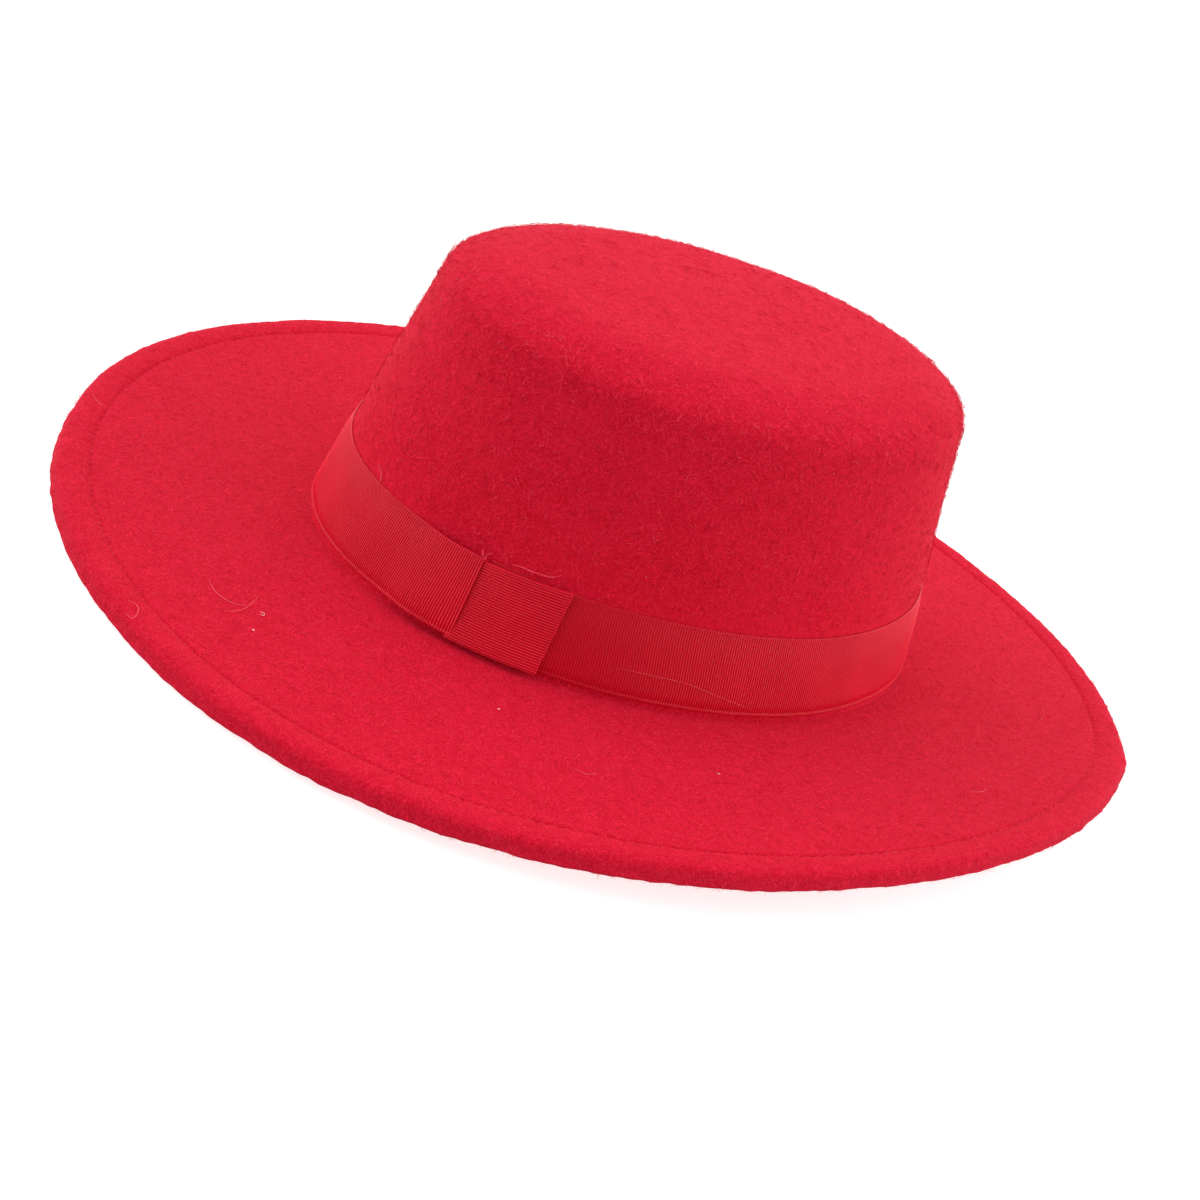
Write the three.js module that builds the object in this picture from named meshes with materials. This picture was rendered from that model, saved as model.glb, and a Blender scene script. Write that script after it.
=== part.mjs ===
// Cordobes hat: one moulded felt body (crown and brim) with a grosgrain band and a wrapped tab.
// Millimetres, +Z up. The front of the hat faces -Y and the wearer's left is +X.
// The hat rests on its brim: z = 0 is the surface under it, and x = y = 0 is the middle of its outline.

import * as THREE from 'three';
import { mergeVertices } from 'three/addons/utils/BufferGeometryUtils.js';

// Crown. Lengths run front to back, and the oval is narrower across by OVAL_NARROWING on each side.
const FELT = 2.5;
const FOOT_HALF_LENGTH = 101.2;
const OVAL_NARROWING = 16.4;
const FOOT_Z = 9.3;
const FOOT_FILLET = 1.2;
const RIBBON_Z = 11.3;
const CROWN_HEIGHT = 91.5;
const WALL_LEAN = THREE.MathUtils.degToRad(10.1);
const TOP_DOME = 1;
const CROWN_SETBACK = 3;
const TOP_DIP = 0.016;

// The top bends down to the wall in two arcs, a slow one and then a quick one.
const SLOW_BEND = 48;
const QUICK_BEND = 8;
const SLOW_BEND_TURN = THREE.MathUtils.degToRad(30);

// Brim and its edge, which is turned under and sewn down as a plump hem.
const EDGE_HALF_LENGTH = 174.65;
const EDGE_NARROWING = 9.8;
const EDGE_RADIUS = 3.2;
const EDGE_Z = 7.3;
const HEM_WIDTH = 10.3;
const HEM_TUCK = 3.2;
const GROOVE_HALF_WIDTH = 1.1;
const GROOVE_Z = 2.0;
const BRIM_TOP_Z = 2.7;
const HEM_FLAT = 4.3;
const BRIM_SWEEP = 1.2;

// The brim's outline swells and its edge rises and falls round the hat: waves per turn, how far the
// wave stretches the outline (share of its radius), and the rise of its cosine and sine parts.
const BRIM_WAVES = [
  { perTurn: 1, stretch: 0.0115, rise: -1.45, sideRise: 1.05 },
  { perTurn: 2, stretch: 0.0078, rise: -3.45, sideRise: -2.95 },
  { perTurn: 3, stretch: -0.011, rise: 1.3, sideRise: -0.7 },
];

// A small crease pinches the brim's edge outward at the back left.
const CREASE = { angle: THREE.MathUtils.degToRad(147), reach: 2.7, width: THREE.MathUtils.degToRad(7) };

// The warped brim stands on its two low places, and that leaves the crown this far off plumb.
const RESTING_TILT = THREE.MathUtils.degToRad(-1);

// Ribbon. Angles start at the front and grow towards the wearer's left.
const RIBBON = 1.0;
const RIBBON_WIDTH = 25.3;
const CLEARANCE = 0.3;
const TAB_FROM = THREE.MathUtils.degToRad(41.2);
const TAB_TO = THREE.MathUtils.degToRad(58.8);
const BAND_HIDDEN_END = THREE.MathUtils.degToRad(43);
const BAND_FOLD = THREE.MathUtils.degToRad(360 + 42.2);
const BAND_CLIMB_FROM = THREE.MathUtils.degToRad(360 + 24);
const BAND_CLIMB_TO = THREE.MathUtils.degToRad(360 + 36);
const BAND_LAYER = CLEARANCE;
const TAB_LAYER = BAND_LAYER + RIBBON + CLEARANCE;
const FOLD_LAYER = TAB_LAYER + RIBBON + CLEARANCE;

// Facets.
const AROUND = 96;
const BAND_STEPS = 96;
const TAB_STEPS = 8;

const LENGTHWISE = new THREE.Vector3(0, 1, 0);
const { clamp, lerp, smoothstep } = THREE.MathUtils;

function feltMaterial() {
  return new THREE.MeshStandardMaterial({ color: '#d9223a', roughness: 0.95, metalness: 0 });
}

function ribbonMaterial() {
  return new THREE.MeshStandardMaterial({ color: '#c01a2b', roughness: 0.7, metalness: 0 });
}

// Points on an arc from one angle to another, both ends included.
function arc(centre, radius, from, to, steps) {
  const points = [];
  for (let i = 0; i <= steps; i += 1) {
    const angle = lerp(from, to, i / steps);
    points.push(new THREE.Vector2(
      centre.x + radius * Math.cos(angle),
      centre.y + radius * Math.sin(angle),
    ));
  }
  return points;
}

// Points between two ends, neither of them included.
function between(from, to, count) {
  const points = [];
  for (let i = 1; i <= count; i += 1) {
    points.push(new THREE.Vector2().lerpVectors(from, to, i / (count + 1)));
  }
  return points;
}

// Half length of the crown's flat top, where the slow bend begins. The quick bend ends on the wall.
function flatTopLength() {
  const inwards = (SLOW_BEND - QUICK_BEND) * Math.sin(SLOW_BEND_TURN);
  const upwards = (SLOW_BEND - QUICK_BEND) * Math.cos(SLOW_BEND_TURN);
  const quickHeight = CROWN_HEIGHT - SLOW_BEND + upwards;
  const wallOffset = FOOT_HALF_LENGTH * Math.cos(WALL_LEAN) - quickHeight * Math.sin(WALL_LEAN);
  return (wallOffset - QUICK_BEND) / Math.cos(WALL_LEAN) - inwards;
}

// The crown's half section in the front-to-back plane, at a depth below the felt's outer face,
// from the middle of the top down to where the wall ends.
function crownSection(depth, footZ, topSteps, slowSteps, quickSteps, wallSteps) {
  const topZ = RIBBON_Z + CROWN_HEIGHT;
  const flatLength = flatTopLength();
  const steepest = Math.PI / 2 - SLOW_BEND_TURN;
  const slowCentre = new THREE.Vector2(flatLength, topZ - SLOW_BEND);
  const quickCentre = arc(slowCentre, SLOW_BEND - QUICK_BEND, steepest, steepest, 1)[0];
  const points = [];
  for (let i = 0; i < topSteps; i += 1) {
    const share = i / topSteps;
    points.push(new THREE.Vector2(flatLength * share, topZ - depth + TOP_DOME * (1 - share * share)));
  }
  points.push(...arc(slowCentre, SLOW_BEND - depth, Math.PI / 2, steepest, slowSteps));
  points.push(...arc(quickCentre, QUICK_BEND - depth, steepest, WALL_LEAN, quickSteps).slice(1));
  const wallTop = points[points.length - 1];
  const foot = new THREE.Vector2(wallTop.x + (wallTop.y - footZ) * Math.tan(WALL_LEAN), footZ);
  points.push(...between(wallTop, foot, wallSteps), foot);
  return points;
}

// The felt's whole half section: over the crown, out along the brim, round the hem, back under the
// brim and up inside the crown. Its heights are those of a level brim.
function feltSection() {
  const outer = crownSection(0, FOOT_Z + FOOT_FILLET, 2, 3, 5, 3);
  const outerFoot = outer[outer.length - 1];
  const filletCentre = new THREE.Vector2(outerFoot.x + FOOT_FILLET, outerFoot.y);
  const fillet = arc(filletCentre, FOOT_FILLET, Math.PI, Math.PI * 1.5, 2).slice(1);

  const edge = new THREE.Vector2(EDGE_HALF_LENGTH, EDGE_Z);
  const grooveLength = EDGE_HALF_LENGTH + EDGE_RADIUS - HEM_WIDTH;
  const brimEnd = new THREE.Vector2(grooveLength - GROOVE_HALF_WIDTH, EDGE_Z + BRIM_TOP_Z);
  const groove = [
    brimEnd,
    new THREE.Vector2(grooveLength, EDGE_Z + GROOVE_Z),
    new THREE.Vector2(grooveLength + GROOVE_HALF_WIDTH, EDGE_Z + BRIM_TOP_Z),
  ];
  const rim = arc(edge, EDGE_RADIUS, Math.PI / 2, -Math.PI / 2, 8);

  const tuckLength = grooveLength - HEM_TUCK;
  const underZ = EDGE_Z + BRIM_TOP_Z - FELT;
  const hemUnder = [
    new THREE.Vector2(EDGE_HALF_LENGTH - HEM_FLAT, EDGE_Z - EDGE_RADIUS),
    new THREE.Vector2(grooveLength, EDGE_Z + GROOVE_Z - 2 * FELT + CLEARANCE),
    new THREE.Vector2(tuckLength, EDGE_Z + GROOVE_Z - 2 * FELT + CLEARANCE),
    new THREE.Vector2(tuckLength, underZ),
  ];

  const mouthRound = FOOT_FILLET + FELT;
  const mouth = arc(filletCentre, mouthRound, Math.PI * 1.5, Math.PI, 3);
  const inner = crownSection(FELT, FOOT_Z + FOOT_FILLET, 2, 2, 3, 2).reverse();

  return [
    ...outer,
    ...fillet,
    ...between(fillet[fillet.length - 1], brimEnd, 5),
    ...groove,
    ...rim,
    ...hemUnder,
    ...between(hemUnder[hemUnder.length - 1], mouth[0], 4),
    ...mouth.slice(0, -1),
    ...inner,
  ];
}

// How far across the oval is narrower than it is long, at a half length of the section.
function narrowing(halfLength) {
  const inCrown = OVAL_NARROWING * Math.min(1, halfLength / flatTopLength());
  const outwards = clamp(brimShare(halfLength), 0, 1);
  return lerp(inCrown, EDGE_NARROWING, outwards);
}

// 0 where the brim leaves the crown, 1 at the middle of its edge.
function brimShare(halfLength) {
  return (halfLength - FOOT_HALF_LENGTH) / (EDGE_HALF_LENGTH - FOOT_HALF_LENGTH);
}

function brimStretch(angle) {
  return BRIM_WAVES.reduce((sum, wave) => sum + wave.stretch * Math.cos(wave.perTurn * angle), 0);
}

function brimRise(angle) {
  return BRIM_WAVES.reduce((sum, wave) => sum
    + wave.rise * Math.cos(wave.perTurn * angle)
    + wave.sideRise * Math.sin(wave.perTurn * angle), 0);
}

function creaseReach(angle, halfLength) {
  const hemStart = EDGE_HALF_LENGTH - HEM_WIDTH;
  const nearEdge = smoothstep(halfLength, hemStart, EDGE_HALF_LENGTH);
  return CREASE.reach * nearEdge * Math.exp(-Math.abs(angle - CREASE.angle) / CREASE.width);
}

// The crown leans back as it rises, and its top dips towards the wearer's left.
function leaning(x, y, z) {
  const share = clamp((z - RIBBON_Z) / CROWN_HEIGHT, 0, 1);
  return new THREE.Vector3(x, y + CROWN_SETBACK * share, z - TOP_DIP * share * x);
}

// Stands the hat on its low places. Felt below the surface is pressed flat on it.
function atRest(point) {
  point.applyAxisAngle(LENGTHWISE, RESTING_TILT);
  point.z = Math.max(0, point.z);
  return point;
}

// A point of the section, carried to an angle round the hat.
function onFelt(angle, halfLength, z) {
  const outwards = Math.max(0, brimShare(halfLength));
  const stretch = 1 + outwards * brimStretch(angle);
  const crease = creaseReach(angle, halfLength);
  const lengthwise = halfLength * stretch + crease;
  const across = (halfLength - narrowing(halfLength)) * stretch + crease;
  const point = leaning(across * Math.sin(angle), -lengthwise * Math.cos(angle), z);
  point.z += brimRise(angle) * outwards ** BRIM_SWEEP;
  return atRest(point);
}

// A point on the crown's wall: height along it from the ribbon's lower edge, distance out from it.
function onWall(angle, height, out) {
  const z = RIBBON_Z + height * Math.cos(WALL_LEAN) + out * Math.sin(WALL_LEAN);
  const inset = height * Math.sin(WALL_LEAN) - out * Math.cos(WALL_LEAN);
  const halfLength = FOOT_HALF_LENGTH - inset;
  const across = halfLength - OVAL_NARROWING;
  return atRest(leaning(across * Math.sin(angle), -halfLength * Math.cos(angle), z));
}

// Moves every vertex of a geometry by a function, and welds the result into one closed surface.
function reshape(geometry, place) {
  geometry.deleteAttribute('normal');
  geometry.deleteAttribute('uv');
  const position = geometry.getAttribute('position');
  const point = new THREE.Vector3();
  for (let i = 0; i < position.count; i += 1) {
    point.fromBufferAttribute(position, i);
    position.setXYZ(i, ...place(point).toArray());
  }
  const welded = mergeVertices(geometry, 1e-3);
  welded.computeVertexNormals();
  return welded;
}

function feltBody() {
  const lathe = new THREE.LatheGeometry(feltSection().reverse(), AROUND);
  const geometry = reshape(lathe, (point) => {
    const angle = Math.atan2(point.x, point.z);
    return onFelt(angle < 0 ? angle + 2 * Math.PI : angle, Math.hypot(point.x, point.z), point.y);
  });
  const mesh = new THREE.Mesh(geometry, feltMaterial());
  mesh.name = 'felt_body';
  return mesh;
}

// The band starts hidden under the tab, runs once round the crown, and its folded end lies on the tab.
function ribbonBand() {
  const strip = new THREE.BoxGeometry(1, 1, 1, BAND_STEPS, 2, 1);
  const geometry = reshape(strip, (point) => {
    const angle = lerp(BAND_HIDDEN_END, BAND_FOLD, point.x + 0.5);
    const climb = smoothstep(angle, BAND_CLIMB_FROM, BAND_CLIMB_TO);
    const layer = lerp(BAND_LAYER, FOLD_LAYER, climb);
    return onWall(angle, (point.y + 0.5) * RIBBON_WIDTH, layer + (point.z + 0.5) * RIBBON);
  });
  const mesh = new THREE.Mesh(geometry, ribbonMaterial());
  mesh.name = 'ribbon_band';
  return mesh;
}

// The tab is a short ribbon wrapped over the band, its edges turned in to the felt above and below.
function ribbonTab() {
  const low = -CLEARANCE;
  const high = RIBBON_WIDTH + CLEARANCE;
  const section = new THREE.Shape([
    new THREE.Vector2(CLEARANCE, low),
    new THREE.Vector2(CLEARANCE, low - RIBBON),
    new THREE.Vector2(TAB_LAYER, low - RIBBON),
    new THREE.Vector2(TAB_LAYER + RIBBON, low),
    new THREE.Vector2(TAB_LAYER + RIBBON, high),
    new THREE.Vector2(TAB_LAYER, high + RIBBON),
    new THREE.Vector2(CLEARANCE, high + RIBBON),
    new THREE.Vector2(CLEARANCE, high),
    new THREE.Vector2(TAB_LAYER, high),
    new THREE.Vector2(TAB_LAYER, low),
  ]);
  const strip = new THREE.ExtrudeGeometry(section, { depth: 1, steps: TAB_STEPS, bevelEnabled: false });
  const geometry = reshape(strip, (point) => onWall(lerp(TAB_TO, TAB_FROM, point.z), point.y, point.x));
  const mesh = new THREE.Mesh(geometry, ribbonMaterial());
  mesh.name = 'ribbon_tab';
  return mesh;
}

const hat = new THREE.Group();
hat.name = 'cordobes_hat';
hat.add(feltBody(), ribbonBand(), ribbonTab());

const outline = new THREE.Box3().setFromObject(hat);
const middle = outline.getCenter(new THREE.Vector3());
hat.position.set(-middle.x, -middle.y, 0);

export default hat;
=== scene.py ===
"""Looks of the cordobes hat: brushed red wool felt, a sewn plump hem and a grosgrain ribbon.

Lengths are worked out in millimetres and turned to metres where a mesh is made. The hat's front faces
-Y and the wearer's left is +X. Angles start at the front and grow towards the wearer's left.
"""

import math

import bpy
import numpy as np
from mathutils import Matrix, Vector, noise


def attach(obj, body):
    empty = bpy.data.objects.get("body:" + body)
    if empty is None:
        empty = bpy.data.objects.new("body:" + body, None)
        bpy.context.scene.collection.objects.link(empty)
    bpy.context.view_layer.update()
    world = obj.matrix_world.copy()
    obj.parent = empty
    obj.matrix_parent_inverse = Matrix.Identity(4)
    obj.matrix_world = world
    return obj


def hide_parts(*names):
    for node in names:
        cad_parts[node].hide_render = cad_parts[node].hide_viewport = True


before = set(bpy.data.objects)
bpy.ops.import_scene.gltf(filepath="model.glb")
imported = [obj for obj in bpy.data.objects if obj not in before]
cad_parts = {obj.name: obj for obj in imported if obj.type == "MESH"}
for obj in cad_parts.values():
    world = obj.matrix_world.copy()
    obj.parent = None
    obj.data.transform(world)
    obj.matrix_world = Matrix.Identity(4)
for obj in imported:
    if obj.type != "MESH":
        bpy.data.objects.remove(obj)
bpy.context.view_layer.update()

MM = 0.001
TURN = 2 * math.pi

# Felt body, as the part has it.
FELT = 2.5
FOOT_HALF_LENGTH = 101.2
OVAL_NARROWING = 16.4
FOOT_Z = 9.3
FOOT_FILLET = 1.2
RIBBON_Z = 11.3
CROWN_HEIGHT = 91.5
WALL_LEAN = math.radians(10.1)
TOP_DOME = 1.0
CROWN_SETBACK = 3.0
TOP_DIP = 0.016
SLOW_BEND, QUICK_BEND, SLOW_BEND_TURN = 48.0, 8.0, math.radians(30)
EDGE_HALF_LENGTH = 174.65
EDGE_NARROWING = 9.8
EDGE_RADIUS = 3.2
EDGE_Z = 7.3
HEM_WIDTH = 10.3
BRIM_TOP_Z = 2.7
BRIM_SWEEP = 1.2
BRIM_WAVES = (
    # per turn, stretch, rise, side rise
    (1, 0.0115, -1.45, 1.05),
    (2, 0.0078, -3.45, -2.95),
    (3, -0.011, 1.3, -0.7),
)
CREASE_ANGLE, CREASE_REACH, CREASE_WIDTH = math.radians(147), 2.7, math.radians(7)
RESTING_TILT = math.radians(-1)
MIDDLE = (0.184, 0.081, 0.0)

# Ribbon, as the part has it.
RIBBON_WIDTH = 25.3
RIBBON_LAYER = 1.0
CLEARANCE = 0.3
TAB_FROM, TAB_TO = math.radians(41.2), math.radians(58.8)
BAND_HIDDEN_END, BAND_FOLD = math.radians(43), math.radians(360 + 42.2)
BAND_CLIMB_FROM, BAND_CLIMB_TO = math.radians(360 + 24), math.radians(360 + 36)
BAND_LAYER = CLEARANCE
FOLD_LAYER = BAND_LAYER + 2 * (RIBBON_LAYER + CLEARANCE)

# What only shows close up.
RIB_PITCH = 0.8  # Real ribs are 0.7 mm apart, which is just too fine to show.
RIB_DEPTH = 0.3
STITCHES = 320
STITCH_LENGTH, THREAD_RADIUS, STITCH_ARCH = 2.1, 0.17, 0.2
STITCH_DIMPLE, STITCH_SWELL = 0.22, 0.05

# The mesh's fineness: points round the shell and the hem, and steps down the crown's outer and inner
# face, which are over the flat top, round its slow bend, round its quick bend, and down the wall.
SHELL_AROUND, HEM_AROUND = 400, 1600
OUTER_STEPS, INNER_STEPS = (22, 14, 12, 30), (9, 5, 6, 14)
JOINT_HALF_LENGTH = 163.0  # The shell ends here and the hem begins.

# Fades between two heights or half lengths: where the ribbon stops holding the felt smooth, and where
# nap and the curls on the crown's edge start and end.
RIBBON_UP_TO, RIBBON_OUT_TO = (36, 44), (104, 112)
CROWN_NAP_FROM, BRIM_NAP_FROM, HEM_NAP_FROM = (35.5, 38), (102.5, 105), (2.0, 3.5)
CURLS_FROM, CURLS_TO = (85, 90), (97, 99.5)

# Unevenness comes in layers: how strong, how long in mm, and a shift that makes each its own pattern.
FELT_SWELLS = ((0.35, 34.0, 0), (0.1, 11.0, 0))
HEM_PLUMPNESS = ((0.05, 24.0, 0), (0.035, 7.0, 300))
HEM_REACH = ((0.25, 42.0, 600), (0.28, 8.0, 900))
HEM_LUMPS = ((1.0, 3.4, 0),)
STITCH_WANDER = ((0.25, 30.0, 1200),)
STITCH_PULL = ((0.5, 5.0, 1500),)
RIBBON_SLACK = ((0.22, 30.0, 0), (0.1, 9.0, 400))
RIBBON_SWAY = ((0.25, 45.0, 800),)

# The hem's section round the middle of the brim's edge: how far outward and up, and how much of the
# stitches' pull each row takes.
HEM_SECTION = (
    # out, up, pull
    (-9.4, 2.69, 0.1),
    (-8.5, 2.7, 0.2),
    (-7.8, 2.68, 0.5),
    (-7.4, 2.5, 0.9),
    (-7.15, 2.22, 1.0),
    (-6.9, 2.45, 0.9),
    (-6.4, 2.75, 0.6),
    (-5.7, 2.98, 0.4),
    (-4.8, 3.16, 0.25),
    (-3.7, 3.3, 0.12),
    (-2.6, 3.38, 0.06),
    (-1.4, 3.4, 0.02),
    (-0.1, 3.3, 0.0),
    (0.9, 2.98, 0.0),
    (1.65, 2.45, 0.0),
    (2.1, 1.75, 0.0),
    (2.35, 0.95, 0.0),
    (2.5, 0.2, 0.0),
    (2.7, -0.5, 0.0),
    (2.9, -1.0, 0.0),
    (2.95, -1.5, 0.0),
    (2.5, -2.05, 0.0),
    (1.7, -2.5, 0.0),
    (0.6, -2.85, 0.0),
    (-0.8, -3.2, 0.0),
    (-2.4, -3.2, 0.0),
    (-4.2, -3.15, 0.2),
    (-5.6, -3.0, 0.5),
    (-7.1, -2.72, 0.9),
    (-8.4, -2.75, 0.5),
    (-9.6, -2.72, 0.2),
    (-10.15, -2.45, 0.0),
    (-10.3, -1.7, 0.0),
    (-10.25, -0.6, 0.0),
    (-10.4, 0.05, 0.0),
    (-10.9, 0.19, 0.0),
)

# Camera and light.
CAMERA_AZIMUTH, CAMERA_ELEVATION = math.radians(59.754), math.radians(26.525)
CAMERA_ROLL = math.radians(21.559)
CAMERA_DISTANCE, CAMERA_AIM, CAMERA_LENS = 703.26, (1.975, -2.182, -2.183), 65.23
FILM_WIDTH, FARTHEST_SEEN = 36, 1000  # mm, m
SKY_GLOW, FRONT_SHADE, BACK_GLOW, SOFTBOX_GLOW, GROUND_GLOW = 0.68, 0.58, 0.6, 2.15, 0.54


# ------------------------ shape of the hat


def lerp(a, b, t):
    return a + (b - a) * t


def smoothstep(x, low, high):
    t = np.clip((x - low) / (high - low), 0, 1)
    return t * t * (3 - 2 * t)


def arc(x, z, radius, start, end, steps):
    turn = np.linspace(start, end, steps + 1)
    return [(x + radius * math.cos(a), z + radius * math.sin(a)) for a in turn]


def between(start, end, count):
    return [tuple(lerp(np.array(start), np.array(end), i / (count + 1))) for i in range(1, count + 1)]


def flat_top_length():
    """How far the crown's flat top reaches from its middle."""
    inwards = (SLOW_BEND - QUICK_BEND) * math.sin(SLOW_BEND_TURN)
    quick_height = CROWN_HEIGHT - SLOW_BEND + (SLOW_BEND - QUICK_BEND) * math.cos(SLOW_BEND_TURN)
    wall_offset = FOOT_HALF_LENGTH * math.cos(WALL_LEAN) - quick_height * math.sin(WALL_LEAN)
    return (wall_offset - QUICK_BEND) / math.cos(WALL_LEAN) - inwards


def crown_section(depth, top_steps, slow_steps, quick_steps, wall_steps):
    """Half section of the crown from near its middle down to the foot, at a depth below the outer face."""
    top_z = RIBBON_Z + CROWN_HEIGHT
    foot_z = FOOT_Z + FOOT_FILLET
    flat = flat_top_length()
    shares = [(i + 0.35) / (top_steps + 0.35) for i in range(top_steps)]
    points = [(flat * t, top_z - depth + TOP_DOME * (1 - t * t)) for t in shares]
    steepest = math.pi / 2 - SLOW_BEND_TURN
    slow_middle = (flat, top_z - SLOW_BEND)
    quick_middle = arc(*slow_middle, SLOW_BEND - QUICK_BEND, steepest, steepest, 1)[0]
    points += arc(*slow_middle, SLOW_BEND - depth, math.pi / 2, steepest, slow_steps)
    points += arc(*quick_middle, QUICK_BEND - depth, steepest, WALL_LEAN, quick_steps)[1:]
    wall_top = points[-1]
    foot = (wall_top[0] + (wall_top[1] - foot_z) * math.tan(WALL_LEAN), foot_z)
    return points + between(wall_top, foot, wall_steps) + [foot]


def on_felt(angle, half_length, z):
    """Points of the felt's section, carried to angles round the hat, in millimetres."""
    outwards = np.maximum(0, (half_length - FOOT_HALF_LENGTH) / (EDGE_HALF_LENGTH - FOOT_HALF_LENGTH))
    in_crown = OVAL_NARROWING * np.minimum(1, half_length / flat_top_length())
    narrowing = lerp(in_crown, EDGE_NARROWING, np.clip(outwards, 0, 1))
    stretch, rise = 1, 0
    for per_turn, wave_stretch, wave_rise, side_rise in BRIM_WAVES:
        stretch = stretch + outwards * wave_stretch * np.cos(per_turn * angle)
        rise = rise + wave_rise * np.cos(per_turn * angle) + side_rise * np.sin(per_turn * angle)
    from_crease = np.abs((angle - CREASE_ANGLE + math.pi) % TURN - math.pi)
    near_edge = smoothstep(half_length, EDGE_HALF_LENGTH - HEM_WIDTH, EDGE_HALF_LENGTH)
    crease = CREASE_REACH * near_edge * np.exp(-from_crease / CREASE_WIDTH)
    lengthwise = half_length * stretch + crease
    across = (half_length - narrowing) * stretch + crease
    return standing(across * np.sin(angle), -lengthwise * np.cos(angle), z, rise * outwards**BRIM_SWEEP)


def standing(x, y, z, lift=0.0):
    """The crown leans back and its top dips to the wearer's left. The hat stands on the brim's low places."""
    share = np.clip((z - RIBBON_Z) / CROWN_HEIGHT, 0, 1)
    x, y, z = np.broadcast_arrays(x, y + CROWN_SETBACK * share, z - TOP_DIP * share * x + lift)
    cos, sin = math.cos(RESTING_TILT), math.sin(RESTING_TILT)
    return np.stack([x * cos + z * sin, y, z * cos - x * sin], axis=-1) + np.array(MIDDLE)


def pressed_flat(points):
    points[..., 2] = np.maximum(points[..., 2], 0)
    return points


def on_wall(angle, height, out):
    """Points by the crown's wall: height along it from the ribbon's lower edge, and distance out from it."""
    z = RIBBON_Z + height * math.cos(WALL_LEAN) + out * math.sin(WALL_LEAN)
    half_length = FOOT_HALF_LENGTH - height * math.sin(WALL_LEAN) + out * math.cos(WALL_LEAN)
    across = half_length - OVAL_NARROWING
    return standing(across * np.sin(angle), -half_length * np.cos(angle), z)


def unevenness(points, layers):
    """Smooth random numbers, one for each point: the sum of the layers."""
    total = 0
    for strength, size, shift in layers:
        flat = (points + shift).reshape(-1, 3) / size
        values = np.array([noise.noise(Vector(p)) for p in flat])
        total = total + strength * values.reshape(points.shape[:-1])
    return total


def felt_waves(points, angle, half_length):
    """How far the felt swells from its moulded shape, least where the brim bears on the surface."""
    fade, lifted = 20, 7.0
    lowest = on_felt(angle, EDGE_HALF_LENGTH, np.full_like(angle, EDGE_Z - EDGE_RADIUS))[..., 2]
    outwards = smoothstep(half_length, FOOT_HALF_LENGTH + fade, EDGE_HALF_LENGTH - fade)
    free = 1 - outwards * (1 - smoothstep(lowest, 0.0, lifted))
    return free * unevenness(points, FELT_SWELLS)


# ------------------------ meshes


def closed_surface(rings, loop):
    """Corners and faces through rings of points: an endless loop of them, or a run closed at both ends."""
    count, around = rings.shape[:2]
    vertices = rings.reshape(-1, 3)
    index = np.arange(count * around).reshape(count, around)
    ahead = np.roll(index, -1, axis=1)
    rows = slice(None) if loop else slice(0, count - 1)
    nxt = np.roll(index, -1, axis=0)
    nxt_ahead = np.roll(ahead, -1, axis=0)
    quads = np.stack([index[rows], ahead[rows], nxt_ahead[rows], nxt[rows]], axis=-1).reshape(-1, 4)
    faces = quads.tolist()
    if not loop:
        ends = np.array([rings[0].mean(axis=0), rings[-1].mean(axis=0)])
        vertices = np.concatenate([vertices, ends])
        first, last = len(vertices) - 2, len(vertices) - 1
        faces += [[ahead[0, i], index[0, i], first] for i in range(around)]
        faces += [[index[-1, i], ahead[-1, i], last] for i in range(around)]
    corners = vertices[quads]
    middle = vertices.mean(axis=0)
    crossing = np.cross(corners[:, 2] - corners[:, 0], corners[:, 3] - corners[:, 1])
    if (crossing * (corners.mean(axis=1) - middle)).sum() < 0:
        faces = [face[::-1] for face in faces]
    return vertices, faces


def skin(name, rings, material, loop=False, sharp=()):
    """A piece with a closed surface through rings of points. The edges along sharp rings aren't smoothed."""
    made = piece(name, *closed_surface(rings, loop), material)
    if sharp:
        around = rings.shape[1]
        edges = np.empty(len(made.data.edges) * 2, dtype=np.int32)
        made.data.edges.foreach_get("vertices", edges)
        ring = edges.reshape(-1, 2) // around
        wanted = (ring[:, 0] == ring[:, 1]) & np.isin(ring[:, 0], np.array(sharp) % len(rings))
        made.data.attributes.new("sharp_edge", "BOOLEAN", "EDGE").data.foreach_set("value", wanted)
    return made


def bundle(name, strands, material):
    """One piece of several separate strands."""
    vertices, faces = [], []
    for rings in strands:
        corners, sides = closed_surface(rings, False)
        faces += [[len(vertices) + corner for corner in side] for side in sides]
        vertices += corners.tolist()
    return piece(name, vertices, faces, material)


def bare_piece(name, vertices=(), edges=(), faces=()):
    """A piece with no material yet, its corners given in mm."""
    mesh = bpy.data.meshes.new(name)
    mesh.from_pydata((np.asarray(vertices) * MM).tolist(), edges, faces)
    made = bpy.data.objects.new(name, mesh)
    bpy.context.scene.collection.objects.link(made)
    return made


def piece(name, vertices, faces, material):
    made = bare_piece(name, vertices, faces=faces)
    made.data.shade_smooth()
    made.data.materials.append(material)
    return made


def keep(made, name, values):
    """Stores a number or a direction for each point of the rings. The points that close the ends get 0."""
    kind, key, width = ("FLOAT", "value", 1) if values.ndim == 2 else ("FLOAT_VECTOR", "vector", 3)
    attribute = made.data.attributes.new(name, kind, "POINT")
    padded = np.zeros(len(made.data.vertices) * width, dtype=np.float32)
    padded[: values.size] = values.ravel()
    attribute.data.foreach_set(key, padded)


def unit(vectors):
    return vectors / np.maximum(np.linalg.norm(vectors, axis=-1, keepdims=True), 1e-9)


def ring_normals(rings):
    around = np.roll(rings, -1, axis=1) - np.roll(rings, 1, axis=1)
    return unit(np.cross(around, np.gradient(rings, axis=0)))


# ------------------------ nodes


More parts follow.
